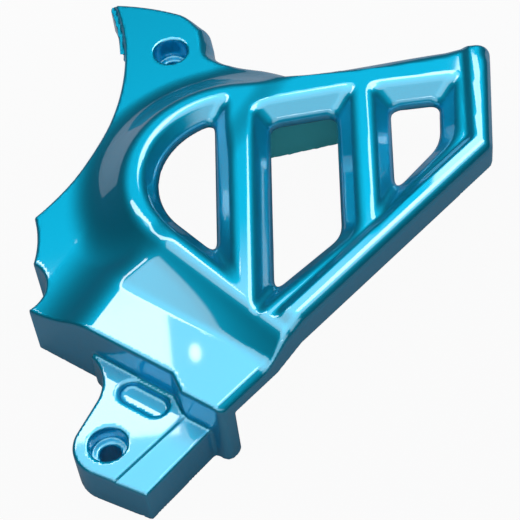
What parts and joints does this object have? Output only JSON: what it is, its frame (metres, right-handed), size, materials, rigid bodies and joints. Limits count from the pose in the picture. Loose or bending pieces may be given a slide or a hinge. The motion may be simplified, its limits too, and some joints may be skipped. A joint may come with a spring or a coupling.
{
  "type": "sprocket cover",
  "caption": "Moulded sprocket cover: round bulge over the sprocket, windowed arm with a raised rail, screw horn and low screw tab.",
  "frame": {"origin": "axis of the tab's screw hole, on the rim plane that faces the engine", "axes": "+Z out of the engine, along the screws; +Y from the tab towards the horn; +X towards the free end of the arm"},
  "size_m": [0.1635, 0.2146, 0.039],
  "materials": {
    "shell": "candy-blue metallic lacquer, high gloss outside, plain matt teal inside"
  },
  "bodies": {
    "root": {"sprocket_cover": "shell"}
  },
  "joints": []
}
